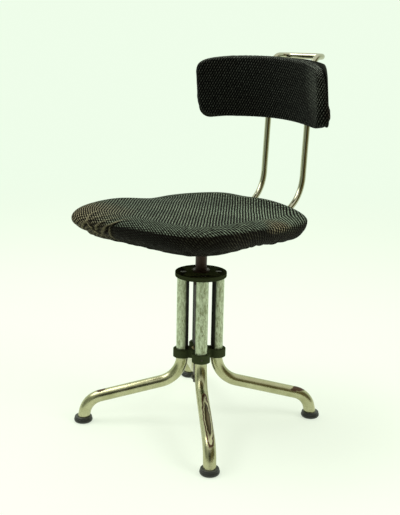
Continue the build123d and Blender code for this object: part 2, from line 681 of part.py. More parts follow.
# ---------------------------------------------------------------- backrest
back_lean = math.radians(BACK_LEAN)
back_plane = Plane(
    origin=(0, pivot_y, PIVOT_Z),
    x_dir=(1, 0, 0),
    z_dir=(0, math.sin(back_lean), math.cos(back_lean)),
)
arc_centre_y = BACK_OFFSET_Y - BACK_RADIUS
back_inner_r = BACK_RADIUS - BACK_THICKNESS / 2
back_outer_r = BACK_RADIUS + BACK_THICKNESS / 2


def back_shell(inner_r, outer_r, inset):
    """Curved slab between two radii, hollow towards the sitter, with rounded corners."""
    half_angle = math.radians(BACK_HALF_ANGLE) - inset / BACK_RADIUS
    height = BACK_HEIGHT - 2 * inset

    def rim(radius, turn):
        return (radius * math.sin(turn), arc_centre_y + radius * math.cos(turn))

    with BuildPart() as shell:
        with BuildSketch(back_plane.offset(BACK_OFFSET_Z - height / 2)):
            with BuildLine():
                ThreePointArc(
                    rim(inner_r, -half_angle), rim(inner_r, 0), rim(inner_r, half_angle)
                )
                Line(rim(inner_r, half_angle), rim(outer_r, half_angle))
                ThreePointArc(
                    rim(outer_r, half_angle), rim(outer_r, 0), rim(outer_r, -half_angle)
                )
                Line(rim(outer_r, -half_angle), rim(inner_r, -half_angle))
            make_face()
        extrude(amount=height)
        corners = shell.edges().filter_by(
            lambda edge: edge.geom_type == GeomType.LINE
            and abs(edge.length - (outer_r - inner_r)) < FIT
        )
        fillet(corners, radius=BACK_CORNER - inset)
    return shell.part


pan_inner_r = back_outer_r - COVER_THICKNESS - PAN_THICKNESS
pan_outer_r = back_outer_r - COVER_THICKNESS
cover_outside = back_shell(back_inner_r, back_outer_r, 0)
cover_inside = back_shell(back_inner_r + COVER_THICKNESS, pan_outer_r, COVER_THICKNESS)
pad_solid = back_shell(back_inner_r + COVER_THICKNESS, pan_inner_r, COVER_THICKNESS)
pan_solid = back_shell(pan_inner_r, pan_outer_r, COVER_THICKNESS)
back_window = back_shell(pan_outer_r - TOUCH, back_outer_r + TOUCH, BACK_HEM_WIDTH)

web_front_y = arc_centre_y + pan_outer_r + FIT
web_screw_places = [
    (x, z) for x in (-WEB_SCREW_X, WEB_SCREW_X) for z in (-WEB_SCREW_Z, WEB_SCREW_Z)
]


def web_plane(y):
    """Plane square to the backrest's depth, facing backwards, at the pivot's height."""
    return Plane(
        origin=back_plane.from_local_coords((0, y, 0)),
        x_dir=(1, 0, 0),
        z_dir=-back_plane.y_dir,
    )


with BuildPart() as back_pan:
    add(pan_solid)
    with BuildSketch(web_plane(web_front_y)):
        with Locations(web_screw_places):
            Circle(WEB_SCREW_RADIUS)
    extrude(amount=3 * PAN_THICKNESS, mode=Mode.SUBTRACT)
save(back_pan, "back_pan")

with BuildPart() as back_pad:
    add(pad_solid)
save(back_pad, "back_pad")

with BuildPart() as back_cover:
    add(cover_outside)
    add(cover_inside, mode=Mode.SUBTRACT)
    add(back_window, mode=Mode.SUBTRACT)
save(back_cover, "back_cover")

web_rear_y = web_front_y + WEB_THICKNESS
with BuildPart() as back_bracket:
    with BuildSketch(web_plane(web_front_y)):
        Rectangle(2 * EAR_OUTER_X, 2 * WEB_HALF_HEIGHT)
        with Locations(web_screw_places):
            Circle(WEB_SCREW_RADIUS + FIT, mode=Mode.SUBTRACT)
    extrude(amount=-WEB_THICKNESS)
    for side in (1, -1):
        ear_plane = Plane(
            origin=(side * EAR_OUTER_X, pivot_y, PIVOT_Z),
            x_dir=back_plane.y_dir,
            z_dir=back_plane.x_dir,
        )
        with BuildSketch(ear_plane):
            with BuildLine():
                Polyline(
                    (0, -EAR_RADIUS),
                    (web_front_y, -WEB_HALF_HEIGHT),
                    (web_front_y, WEB_HALF_HEIGHT),
                    (0, EAR_RADIUS),
                )
                ThreePointArc((0, EAR_RADIUS), (EAR_RADIUS, 0), (0, -EAR_RADIUS))
            make_face()
            Circle(PIVOT_BAR_RADIUS + FIT, mode=Mode.SUBTRACT)
        extrude(amount=-side * EAR_THICKNESS)
save(back_bracket, "back_bracket")

with BuildPart() as back_bracket_screws:
    with BuildSketch(web_plane(web_rear_y)):
        with Locations(web_screw_places):
            Circle(WEB_SCREW_HEAD_RADIUS)
    extrude(amount=-WEB_SCREW_HEAD_HEIGHT)
    with BuildSketch(web_plane(web_rear_y)):
        with Locations(web_screw_places):
            Circle(WEB_SCREW_RADIUS)
    extrude(amount=WEB_THICKNESS + PAN_THICKNESS)
save(back_bracket_screws, "back_bracket_screws")
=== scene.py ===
import json
import math

import bpy
import numpy as np
from mathutils import Matrix, Vector


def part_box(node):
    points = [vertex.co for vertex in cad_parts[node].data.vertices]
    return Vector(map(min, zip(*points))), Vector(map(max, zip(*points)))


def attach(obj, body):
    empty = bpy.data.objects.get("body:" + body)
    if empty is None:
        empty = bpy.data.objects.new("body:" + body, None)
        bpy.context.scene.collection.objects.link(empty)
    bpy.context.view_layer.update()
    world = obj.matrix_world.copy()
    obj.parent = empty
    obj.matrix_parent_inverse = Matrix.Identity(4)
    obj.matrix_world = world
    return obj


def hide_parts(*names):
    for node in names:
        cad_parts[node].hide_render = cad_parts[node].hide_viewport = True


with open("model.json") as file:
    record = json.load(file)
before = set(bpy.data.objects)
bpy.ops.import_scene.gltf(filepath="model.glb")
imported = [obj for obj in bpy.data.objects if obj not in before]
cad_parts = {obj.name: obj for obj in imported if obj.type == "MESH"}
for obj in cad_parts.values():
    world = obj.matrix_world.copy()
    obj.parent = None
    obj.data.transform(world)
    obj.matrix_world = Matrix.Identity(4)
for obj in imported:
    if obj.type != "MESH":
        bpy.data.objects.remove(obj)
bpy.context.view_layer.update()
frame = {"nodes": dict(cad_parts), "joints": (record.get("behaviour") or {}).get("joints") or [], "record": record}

# ---------------------------------------------------------------- places from the frame
SEAT_LOW, SEAT_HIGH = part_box("seat_cover")
BOARD_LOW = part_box("seat_board")[0]
BRACKET_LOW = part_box("lower_bracket")[0]
JOINTS = {joint["name"]: joint for joint in frame["joints"]}
PIVOT = Vector(JOINTS["back_tilt"]["pos_m"])


def foot_middle(place):
    """Middle of one rubber foot."""
    low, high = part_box(f"foot_{place}")
    return (low + high) / 2


# ---------------------------------------------------------------- camera
VIEW_AZIMUTH = math.radians(39.4)
AIM_AZIMUTH = math.radians(39.49)
CAMERA_DISTANCE = 1.7
CAMERA_HEIGHT = 0.7854
CAMERA_PITCH = math.radians(14.26)
CAMERA_ROLL = math.radians(1.17)
LENS = 60.4
SENSOR_WIDTH = 36.0


def make_camera():
    """Camera in front of the chair and to the sitter's left, looking slightly down."""
    data = bpy.data.cameras.new("camera")
    data.lens = LENS
    data.sensor_width = SENSOR_WIDTH
    camera = bpy.data.objects.new("camera", data)
    bpy.context.scene.collection.objects.link(camera)
    place = Vector(
        (
            CAMERA_DISTANCE * math.sin(VIEW_AZIMUTH),
            -CAMERA_DISTANCE * math.cos(VIEW_AZIMUTH),
            CAMERA_HEIGHT,
        )
    )
    turn = Matrix.Rotation(AIM_AZIMUTH, 4, "Z")
    tip = Matrix.Rotation(math.pi / 2 - CAMERA_PITCH, 4, "X")
    roll = Matrix.Rotation(CAMERA_ROLL, 4, "Z")
    camera.matrix_world = Matrix.Translation(place) @ turn @ tip @ roll
    bpy.context.scene.camera = camera


make_camera()


# ---------------------------------------------------------------- node helpers
class Nodes:
    """Short forms for building one node tree."""

    def __init__(self, tree):
        self.tree = tree

    def add(self, kind, **values):
        node = self.tree.nodes.new(kind)
        for key, value in values.items():
            setattr(node, key, value)
        return node

    def link(self, out, into):
        self.tree.links.new(out, into)

    def put(self, value, socket):
        """Link an output, or set a plain value."""
        if isinstance(value, bpy.types.NodeSocket):
            self.link(value, socket)
        else:
            socket.default_value = value

    def math(self, operation, first, second=0.0, clamp=False):
        node = self.add("ShaderNodeMath", operation=operation, use_clamp=clamp)
        self.put(first, node.inputs[0])
        self.put(second, node.inputs[1])
        return node.outputs[0]

    def vector_math(self, operation, *vectors):
        node = self.add("ShaderNodeVectorMath", operation=operation)
        for vector, socket in zip(vectors, node.inputs):
            self.put(vector, socket)
        return node.outputs[0]

    def plus(self, first, second):
        return self.math("ADD", first, second)

    def minus(self, first, second, clamp=False):
        return self.math("SUBTRACT", first, second, clamp)

    def times(self, first, second, clamp=False):
        return self.math("MULTIPLY", first, second, clamp)

    def maximum(self, first, second):
        return self.math("MAXIMUM", first, second)

    def split(self, vector):
        node = self.add("ShaderNodeSeparateXYZ")
        self.link(vector, node.inputs[0])
        return node.outputs

    def noise(self, vector, scale, detail=3.0, rough=0.55, output="Fac"):
        node = self.add("ShaderNodeTexNoise")
        self.link(vector, node.inputs["Vector"])
        node.inputs["Scale"].default_value = scale
        node.inputs["Detail"].default_value = detail
        node.inputs["Roughness"].default_value = rough
        return node.outputs[output]

    def ramp(self, value, low, high):
        """0 below low, 1 above high."""
        node = self.add("ShaderNodeMapRange", clamp=True, interpolation_type="SMOOTHSTEP")
        self.put(value, node.inputs["Value"])
        node.inputs["From Min"].default_value = low
        node.inputs["From Max"].default_value = high
        return node.outputs["Result"]

    def between(self, value, low, high):
        """Maps 0..1 to low..high."""
        node = self.add("ShaderNodeMapRange", clamp=True)
        self.put(value, node.inputs["Value"])
        node.inputs["To Min"].default_value = low
        node.inputs["To Max"].default_value = high
        return node.outputs["Result"]

    def mix(self, factor, first, second):
        node = self.add("ShaderNodeMix", data_type="RGBA")
        self.put(factor, node.inputs["Factor"])
        self.put(first, node.inputs[6])
        self.put(second, node.inputs[7])
        return node.outputs[2]

    def bands(self, value, stops):
        """Colour that follows a list of positions and colours, the first at 0 and the last at 1."""
        node = self.add("ShaderNodeValToRGB")
        self.link(value, node.inputs["Fac"])
        elements = node.color_ramp.elements
        elements[0].color = stops[0][1]
        elements[1].color = stops[-1][1]
        for position, tint in stops[1:-1]:
            elements.new(position).color = tint
        return node.outputs["Color"]

    def stretch(self, vector, scale, turn=(0.0, 0.0, 0.0)):
        node = self.add("ShaderNodeMapping")
        self.link(vector, node.inputs["Vector"])
        node.inputs["Scale"].default_value = scale
        node.inputs["Rotation"].default_value = turn
        return node.outputs["Vector"]

    def length(self, vector):
        node = self.add("ShaderNodeVectorMath", operation="LENGTH")
        self.link(vector, node.inputs[0])
        return node.outputs["Value"]

    def near(self, vector, centre, reach):
        """1 at the centre, falling to 0 at the reach, with a reach for each axis."""
        shift = self.vector_math("SUBTRACT", vector, centre)
        return self.minus(1.0, self.length(self.vector_math("DIVIDE", shift, reach)), clamp=True)

    def along(self, vector, direction):
        """How far a position lies in one direction."""
        node = self.add("ShaderNodeVectorMath", operation="DOT_PRODUCT")
        self.link(vector, node.inputs[0])
        node.inputs[1].default_value = direction
        return node.outputs["Value"]

    def bump(self, height, distance, strength=1.0):
        node = self.add("ShaderNodeBump")
        node.inputs["Strength"].default_value = strength
        node.inputs["Distance"].default_value = distance
        self.link(height, node.inputs["Height"])
        return node.outputs["Normal"]


def colour(red, green, blue):
    return (red, green, blue, 1.0)


def new_material(name):
    """Material with an empty Principled shader; returns (material, nodes, shader)."""
    material = bpy.data.materials.new(name)
    material.use_nodes = True
    tree = material.node_tree
    shader = tree.nodes["Principled BSDF"]
    return material, Nodes(tree), shader


def coordinates(nodes, kind="Object"):
    return nodes.add("ShaderNodeTexCoord").outputs[kind]


def upward(nodes):
    """How far the surface faces up, from -1 to 1."""
    geometry = nodes.add("ShaderNodeNewGeometry")
    return nodes.split(geometry.outputs["Normal"])["Z"]


# ---------------------------------------------------------------- cloth
ROW_WAVE = (0.0035, 0.0035, 0.0)
DOT_HEIGHT = 0.0016
# The dots of a row are spaced by the rows' own spacing divided by this.
DOT_CLOSENESS = 0.8


def dotted_rows(nodes, cloth, pitch, turn):
    """Height of raised dots in slanting, slightly wavy rows, from 0 to 1."""
    swirl = nodes.noise(cloth, 16.0, 2.0, 0.5, "Color")
    wavy = nodes.vector_math("MULTIPLY_ADD", swirl, ROW_WAVE, cloth)
    rows = nodes.split(nodes.stretch(wavy, (2 * math.pi / pitch,) * 3, (0, 0, turn)))
    across = nodes.math("SINE", rows["X"])
    half_row = nodes.times(rows["X"], 0.5)
    along = nodes.math("SINE", nodes.plus(nodes.times(rows["Y"], DOT_CLOSENESS), half_row))
    across_high = nodes.plus(nodes.times(across, 0.5), 0.5)
    along_high = nodes.plus(nodes.times(along, 0.5), 0.5)
    return nodes.times(across_high, nodes.between(along_high, 0.45, 1.0))


def woven_cloth(name, pitch, turn, dark, light, brown, tone_and_top_light, painted_light_places, stains):
    """Coarse cloth of raised dots, browned in places and worn on its creases' ridges. Painted light makes it paler
    where it faces up and in listed places, and painted shade darkens the creases' valleys.
    """
    material, nodes, shader = new_material(name)
    place = coordinates(nodes)
    cloth = nodes.add("ShaderNodeUVMap", uv_map="cloth").outputs[0]
    fuzz = nodes.times(nodes.noise(cloth, 900.0, 2.0), 0.25)
    height = nodes.plus(dotted_rows(nodes, cloth, pitch, turn), fuzz)
    uneven = nodes.ramp(nodes.noise(cloth, 170.0, 3.0, 0.7), 0.3, 0.72)
    thread = nodes.times(nodes.ramp(height, 0.45, 0.95), nodes.between(uneven, 0.35, 1.8))

    fade_low, painted_top_light = tone_and_top_light
    blotches = nodes.ramp(nodes.noise(place, 11.0, 5.0), 0.36, 0.66)
    # Painted light: the cloth is painted paler where it faces up and in the listed places, as light falls there.
    painted_light = nodes.times(nodes.ramp(upward(nodes), 0.3, 1.0), painted_top_light)
    painted_light = nodes.times(painted_light, nodes.between(blotches, 0.75, 1.0))
    for centre, reach, amount in painted_light_places:
        painted_light = nodes.plus(painted_light, nodes.times(nodes.near(place, centre, reach), amount))
    tone = nodes.times(thread, nodes.plus(painted_light, fade_low), clamp=True)
    plain = nodes.mix(tone, dark, light)

    browned = nodes.times(blotches, 0.12)
    for centre, reach in stains:
        patch = nodes.times(nodes.near(place, centre, reach), 1.5, clamp=True)
        browned = nodes.maximum(browned, patch)
    stained = nodes.mix(nodes.times(thread, 0.9), dark, brown)
    skin = nodes.mix(browned, plain, stained)

    # The mesh stores, above zero, how worn a crease's ridge is, and below zero, the painted shade in its valley.
    crease_wear_and_shade = nodes.add("ShaderNodeAttribute", attribute_name="crease_wear_and_shade").outputs["Fac"]
    skin = nodes.mix(nodes.times(crease_wear_and_shade, 0.5, clamp=True), skin, brown)
    # Painted shade: crease valleys are painted dark.
    skin = nodes.mix(nodes.times(crease_wear_and_shade, -0.85, clamp=True), skin, dark)
    nodes.link(skin, shader.inputs["Base Color"])
    shader.inputs["Roughness"].default_value = 0.85
    shader.inputs["Specular IOR Level"].default_value = 0.06
    shader.inputs["Sheen Weight"].default_value = 0.015
    shader.inputs["Sheen Roughness"].default_value = 0.4
    nodes.link(nodes.bump(height, DOT_HEIGHT), shader.inputs["Normal"])
    return material


# ---------------------------------------------------------------- nickel plate
DIAGONAL = math.sqrt(0.5)
# The front left leg runs out along one diagonal, and the other diagonal runs across it.
OUTWARD = (DIAGONAL, -DIAGONAL, 0)
SIDEWAYS = (DIAGONAL, DIAGONAL, 0)
# A leg's middle line starts to slope this far out and this high, and falls this much for each metre.
LEG_BEND_OUT = 0.036
LEG_BEND_HEIGHT = 0.097
LEG_FALL = math.tan(math.radians(13.5))
# The same line's height if it went on to the column's axis
LEG_LINE = LEG_BEND_HEIGHT + LEG_BEND_OUT * LEG_FALL
# Frosting starts at the bracket's underside, blended over this much above and below it.
FROST_BLEND = 0.01
# Painted shade: the sides of the tubes that face the column's middle are painted dark, ending between these
# distances from the column's axis, further out on the rear right tube.
INNER_SHADE_END = (0.0295, 0.0325)
REAR_TUBE = (0.018, 0.022)
REAR_SHADE_EXTRA = 0.008
# The rubbed patch's middle and reach, outwards and across the leg
PATCH_MIDDLE = (0.170, 0.0022)
PATCH_REACH = (0.080, 0.0085)
# Colours from the middle of the rubbed patch to its edge
PATCH_BANDS = [
    (0.0, colour(0.16, 0.13, 0.06)),
    (0.30, colour(0.11, 0.085, 0.035)),
    (0.55, colour(0.02, 0.008, 0.003)),
    (0.66, colour(0.50, 0.48, 0.27)),
    (0.76, colour(0.62, 0.60, 0.38)),
    (0.84, colour(0.06, 0.026, 0.008)),
    (1.0, colour(0.07, 0.016, 0.006)),
]
# Rusted spots: the foot they are near, how far out towards it, their height and their reach
RUST_SPOTS = [
    ("rear_left", 0.92, 0.066, (0.05, 0.05, 0.009)),
    ("front_right", 0.88, 0.071, (0.03, 0.03, 0.007)),
]


def column_inner_shade(nodes, outward, sideways):
    """Painted shade, 1 on the sides of the tubes that face the middle of the column, where its inside shades them.
    """
    from_axis = nodes.maximum(nodes.math("ABSOLUTE", outward), nodes.math("ABSOLUTE", sideways))
    rearmost = nodes.ramp(nodes.times(outward, -1.0), *REAR_TUBE)
    from_axis = nodes.minus(from_axis, nodes.times(rearmost, REAR_SHADE_EXTRA))
    return nodes.minus(1.0, nodes.ramp(from_axis, *INNER_SHADE_END))


def rubbed_patch(nodes, place, height, outward, sideways):
    """Long patch on top of the front left leg; returns where it is and its colour."""
    patch = nodes.add("ShaderNodeCombineXYZ")
    for position, middle, reach, socket in zip((outward, sideways), PATCH_MIDDLE, PATCH_REACH, patch.inputs):
        nodes.link(nodes.math("DIVIDE", nodes.minus(position, middle), reach), socket)
    ragged = nodes.times(nodes.minus(nodes.noise(place, 90.0, 4.0), 0.5), 0.5)
    ring = nodes.plus(nodes.length(patch.outputs[0]), ragged)
    inside = nodes.minus(1.0, nodes.ramp(ring, 0.98, 1.06))
    above_line = nodes.plus(height, nodes.times(outward, LEG_FALL))
    on_top = nodes.ramp(above_line, LEG_LINE, LEG_LINE + 0.004)
    return nodes.times(inside, on_top), nodes.bands(ring, PATCH_BANDS)


def rust_spots(nodes, place):
    """1 where the plate has rusted through on the bends above two of the feet."""
    spots = 0.0
    for foot, part_way, height, reach in RUST_SPOTS:
        middle = foot_middle(foot)
        spot = nodes.near(place, (middle.x * part_way, middle.y * part_way, height), reach)
        spots = nodes.maximum(spots, spot)
    uneven = nodes.times(nodes.noise(place, 75.0, 5.0), 1.1)
    return nodes.ramp(nodes.plus(spots, uneven), 0.92, 1.02)


def worn_nickel():
    """Old nickel plate: frosted and pitted on the column, brighter on the legs, rusted where rubbed."""
    material, nodes, shader = new_material("worn_nickel")
    place = coordinates(nodes)
    height = nodes.split(place)["Z"]
    outward = nodes.along(place, OUTWARD)
    sideways = nodes.along(place, SIDEWAYS)
    on_column = nodes.ramp(height, BRACKET_LOW.z - FROST_BLEND, BRACKET_LOW.z + FROST_BLEND)
    grain = nodes.noise(place, 260.0, 4.0, 0.7)
    clouds = nodes.noise(place, 38.0, 4.0)
    streaks = nodes.noise(nodes.stretch(place, (1, 1, 0.3)), 260.0, 4.0, 0.75)
    silver = nodes.mix(clouds, colour(0.28, 0.28, 0.13), colour(0.64, 0.63, 0.42))
    streaked = nodes.ramp(streaks, 0.30, 0.66)
    frosted = nodes.mix(streaked, colour(0.26, 0.29, 0.16), colour(0.66, 0.74, 0.55))

    rust = rust_spots(nodes, place)
    pits = nodes.ramp(nodes.noise(nodes.stretch(place, (1, 1, 0.5)), 420.0, 2.0), 0.60, 0.70)
    pits = nodes.times(pits, nodes.between(on_column, 0.15, 0.85))
    worn = nodes.maximum(rust, nodes.times(pits, 0.7))
    brown = nodes.mix(grain, colour(0.03, 0.014, 0.006), colour(0.13, 0.065, 0.028))
    inner_shade = nodes.times(column_inner_shade(nodes, outward, sideways), on_column)
    patch, patch_colour = rubbed_patch(nodes, place, height, outward, sideways)

    skin = nodes.mix(worn, nodes.mix(on_column, silver, frosted), brown)
    skin = nodes.mix(patch, skin, patch_colour)
    # Painted shade: the column tubes' inner sides are painted dark, and are made dull below.
    skin = nodes.mix(inner_shade, skin, colour(0.02, 0.02, 0.012))
    nodes.link(skin, shader.inputs["Base Color"])
    dull = nodes.maximum(nodes.maximum(rust, inner_shade), nodes.times(patch, 0.6))
    nodes.link(nodes.between(dull, 1.0, 0.3), shader.inputs["Metallic"])
    haze = nodes.plus(nodes.between(on_column, 0.2, 0.42), nodes.times(clouds, 0.14))
    nodes.link(nodes.maximum(haze, nodes.times(dull, 0.55)), shader.inputs["Roughness"])
    relief = nodes.times(grain, nodes.between(on_column, 0.3, 1.0))
    relief = nodes.minus(relief, nodes.times(worn, 0.8))
    relief = nodes.minus(relief, nodes.times(patch, 0.6))
    nodes.link(nodes.bump(relief, 0.0005, 0.6), shader.inputs["Normal"])
    return material


# ---------------------------------------------------------------- other materials
def bright_chrome():
    """Polished rod with faint haze and a little yellowing."""
    material, nodes, shader = new_material("bright_chrome")
    place = coordinates(nodes)
    haze = nodes.noise(place, 45.0, 4.0)
    skin = nodes.mix(haze, colour(0.40, 0.39, 0.26), colour(0.55, 0.55, 0.43))
    nodes.link(skin, shader.inputs["Base Color"])
    shader.inputs["Metallic"].default_value = 1.0
    nodes.link(nodes.between(haze, 0.05, 0.2), shader.inputs["Roughness"])
    nodes.link(nodes.bump(nodes.noise(place, 400.0), 0.0001, 0.3), shader.inputs["Normal"])
    return material


def enamel(name, dark, rubbed_and_lit, roughness):
    """Thick dull black paint, rubbed paler along its edges, with painted light making its upright faces paler."""
    material, nodes, shader = new_material(name)
    place = coordinates(nodes)
    edges = nodes.ramp(nodes.add("ShaderNodeNewGeometry").outputs["Pointiness"], 0.505, 0.56)
    scuff = nodes.plus(edges, nodes.times(nodes.noise(place, 70.0, 5.0), 0.5))
    # Painted light: upright faces are painted paler than the tops, as light falls on them. The worn mask below
    # mixes this painted light with the rubbed edges.
    painted_side_light = nodes.minus(1.0, nodes.ramp(upward(nodes), 0.3, 0.8))
    worn = nodes.maximum(nodes.ramp(scuff, 0.42, 1.05), nodes.times(painted_side_light, 0.78))
    nodes.link(nodes.mix(worn, dark, rubbed_and_lit), shader.inputs["Base Color"])
    shader.inputs["Specular IOR Level"].default_value = 0.0
    spots = nodes.noise(place, 180.0, 3.0)
    nodes.link(nodes.between(spots, roughness - 0.1, roughness + 0.15), shader.inputs["Roughness"])
    nodes.link(nodes.bump(spots, 0.0004, 0.35), shader.inputs["Normal"])
    return material


def plain_metal(name, low, high, roughness, metallic=1.0):
    """Turned or rolled metal with fine grain."""
    material, nodes, shader = new_material(name)
    place = coordinates(nodes)
    grain = nodes.noise(nodes.stretch(place, (1, 1, 6)), 90.0, 4.0)
    nodes.link(nodes.mix(grain, low, high), shader.inputs["Base Color"])
    shader.inputs["Metallic"].default_value = metallic
    nodes.link(nodes.between(grain, roughness - 0.08, roughness + 0.12), shader.inputs["Roughness"])
    nodes.link(nodes.bump(grain, 0.0002, 0.4), shader.inputs["Normal"])
    return material


def rubber():
    """Moulded black rubber, slightly dusty."""
    material, nodes, shader = new_material("foot_rubber")
    place = coordinates(nodes)
    dust = nodes.times(nodes.ramp(upward(nodes), 0.2, 1.0), nodes.noise(place, 120.0, 4.0))
    skin = nodes.mix(dust, colour(0.012, 0.014, 0.012), colour(0.06, 0.065, 0.055))
    nodes.link(skin, shader.inputs["Base Color"])
    shader.inputs["Roughness"].default_value = 0.42
    shader.inputs["Specular IOR Level"].default_value = 0.5
    nodes.link(nodes.bump(nodes.noise(place, 500.0), 0.0002, 0.4), shader.inputs["Normal"])
    return material


def plywood():
    """Bare plywood board with long grain."""
    material, nodes, shader = new_material("board_wood")
    place = coordinates(nodes)
    grain = nodes.noise(nodes.stretch(place, (9, 0.6, 14)), 14.0, 6.0, 0.65)
    skin = nodes.mix(grain, colour(0.20, 0.12, 0.06), colour(0.46, 0.31, 0.17))
    nodes.link(skin, shader.inputs["Base Color"])
    shader.inputs["Roughness"].default_value = 0.7
    nodes.link(nodes.bump(grain, 0.0005, 0.4), shader.inputs["Normal"])
    return material


def foam():
    """Old latex foam, full of fine cells."""
    material, nodes, shader = new_material("foam")
    place = coordinates(nodes)
    cells = nodes.noise(place, 420.0, 3.0)
    skin = nodes.mix(cells, colour(0.45, 0.36, 0.2), colour(0.66, 0.56, 0.36))
    nodes.link(skin, shader.inputs["Base Color"])
    shader.inputs["Roughness"].default_value = 0.95
    nodes.link(nodes.bump(cells, 0.0008, 0.6), shader.inputs["Normal"])
    return material


MATERIALS = {
    "worn_nickel": worn_nickel(),
    "bright_chrome": bright_chrome(),
    "black_enamel": enamel("black_enamel", colour(0.006, 0.005, 0.0025), colour(0.046, 0.057, 0.026), 0.5),
    "pan_enamel": enamel("pan_enamel", colour(0.008, 0.008, 0.006), colour(0.035, 0.037, 0.03), 0.4),
    "dark_steel": plain_metal(
        "dark_steel", colour(0.035, 0.02, 0.016), colour(0.07, 0.045, 0.035), 0.42, metallic=0.6
    ),
    "screw_steel": plain_metal("screw_steel", colour(0.045, 0.04, 0.03), colour(0.13, 0.12, 0.095), 0.4),
    "bush_bronze": plain_metal("bush_bronze", colour(0.42, 0.29, 0.12), colour(0.6, 0.45, 0.22), 0.3),
    "foot_rubber": rubber(),
    "board_wood": plywood(),
    "foam": foam(),
    "seat_fabric": woven_cloth(
        "seat_fabric",
        pitch=0.0054,
        turn=math.radians(-37),
        dark=colour(0.003, 0.0015, 0.0008),
        light=colour(0.37, 0.48, 0.34),
        brown=colour(0.37, 0.33, 0.20),
        # Painted light: the second number paints the seat's upward faces paler, and the listed places are painted
        # pools of light on its top.
        tone_and_top_light=(0.03, 0.62),
        painted_light_places=[
            ((0.12, 0.03, 0.45), (0.11, 0.09, 0.03), 0.55),
            ((0.02, -0.03, 0.45), (0.10, 0.07, 0.03), 0.25),
        ],
        stains=[((-0.13, -0.19, 0.445), (0.13, 0.09, 0.05)), ((0.19, 0.0, 0.446), (0.06, 0.05, 0.014))],
    ),
    "back_fabric": woven_cloth(
        "back_fabric",
        pitch=0.0053,
        turn=math.radians(35),
        dark=colour(0.0006, 0.0005, 0.0005),
        light=colour(0.38, 0.42, 0.35),
        brown=colour(0.06, 0.032, 0.02),
        # Painted light: the second number paints the backrest's upward faces paler, and the listed place paints
        # the end of the pad at positive x paler, where light falls on it.
        tone_and_top_light=(0.13, 0.35),
        painted_light_places=[((0.125, 0.150, 0.69), (0.05, 0.06, 0.10), 0.6)],
        stains=[((0.178, 0.200, 0.67), (0.030, 0.032, 0.14))],
    ),
}
SLOT_OF = {part["node"]: part["material_slot"] for part in frame["record"]["subparts"]}


def dress_nodes():
    """Give every CAD node its procedural material."""
    for name, node in frame["nodes"].items():
        node.data.materials.clear()
        node.data.materials.append(MATERIALS[SLOT_OF[name]])


dress_nodes()


# ---------------------------------------------------------------- shapes of padded pieces
def make_mesh(name, points, faces, cloth, crease_wear_and_shade=None):
    """Mesh object with smooth faces, the cloth's own flat coordinates as UVs, and on its points how worn the
    creases' ridges are and their painted shade.
    """
    mesh = bpy.data.meshes.new(name)
    mesh.from_pydata([tuple(point) for point in points], [], faces)
    layer = mesh.uv_layers.new(name="cloth")
    corners = np.empty(len(mesh.loops), dtype=np.int32)
    mesh.loops.foreach_get("vertex_index", corners)
    layer.data.foreach_set("uv", np.asarray(cloth, dtype=np.float32)[corners].ravel())
    if crease_wear_and_shade is not None:
        crease_layer = mesh.attributes.new("crease_wear_and_shade", "FLOAT", "POINT")
        crease_layer.data.foreach_set("value", np.asarray(crease_wear_and_shade, dtype=np.float32))
    mesh.polygons.foreach_set("use_smooth", [True] * len(mesh.polygons))
    mesh.update()
    piece = bpy.data.objects.new(name, mesh)
    bpy.context.scene.collection.objects.link(piece)
    return piece


def ring_faces(rings, around):
    """Quads between rings of points, closed by fans to the two middle points that follow the rings."""
    faces = []
    for ring in range(rings - 1):
        for step in range(around):
            after = (step + 1) % around
            low, high = ring * around, (ring + 1) * around
            faces.append((low + step, high + step, high + after, low + after))
    last = (rings - 1) * around
    first_middle = rings * around
    for step in range(around):
        after = (step + 1) % around
        faces.append((first_middle, step, after))
        faces.append((first_middle + 1, last + after, last + step))
    return faces


def superellipse(turn, half_length, half_height, power):
    """Distance from the middle to a rounded oblong outline at each angle."""
    across = np.abs(np.cos(turn) / half_length) ** power
    up = np.abs(np.sin(turn) / half_height) ** power
    return (across + up) ** (-1.0 / power)


def swelling(turn, place, width):
    """1 at one place round an outline, falling smoothly away on both sides."""
    return np.exp(-(((turn - place) / width) ** 2))


def ripple(turn, seed, count, fewest, most):
    """Smooth uneven waves round an outline, the same every run."""
    waves = np.zeros_like(turn)
    generator = np.random.default_rng(seed)
    for _ in range(count):
        times = generator.integers(fewest, most)
        strength = generator.uniform(0.4, 1.0)
        shift = generator.uniform(0, 6.28)
        waves += strength * np.sin(times * turn + shift)
    return waves / count


# ---------------------------------------------------------------- seat cushion
SEAT_AROUND = 840
SEAT_TOP_RINGS = 22
SEAT_EDGE_RINGS = 30
# The rim stays this far inside the plain cover's box.
COVER_GAP = 0.002
SEAT_EDGE_INSET = 0.0446
SEAT_CROWN = 0.0121
SEAT_DROP = 0.0352
SEAT_RIM_Z = 0.4377
# The middle of the top stands this far above its edge.
SEAT_DOME = 0.008
SEAT_MIDDLE_Z = SEAT_RIM_Z + SEAT_CROWN + SEAT_DOME
SEAT_REAR_LIFT = 0.0149
SEAT_FRONT_LIFT = 0.0131
SEAT_CORNER_LIFT = 0.006
SEAT_WIDEST_Y = 0.0602
SEAT_FRONT_POWER = 5.3
SEAT_REAR_POWER = 2.6
# The board's edge lies this far in from the rim. The cover stays this far below the board, and may
# rise this much for each metre outside that edge.
BOARD_EDGE_INSET = 0.035
BELOW_BOARD = 0.002
RIM_SLOPE = 1.2
# The gathered hem: how far in from the rim, and how far above the board's underside
SEAT_HEM = [(0.062, -0.004), (0.068, 0.003)]
# How far the gathers and the finer folds move the underside, outwards and upwards
GATHER_OUT, GATHER_UP = 0.0040, 0.0060
FOLD_OUT, FOLD_UP = 0.0030, 0.0080
HEM_GATHER = 0.003
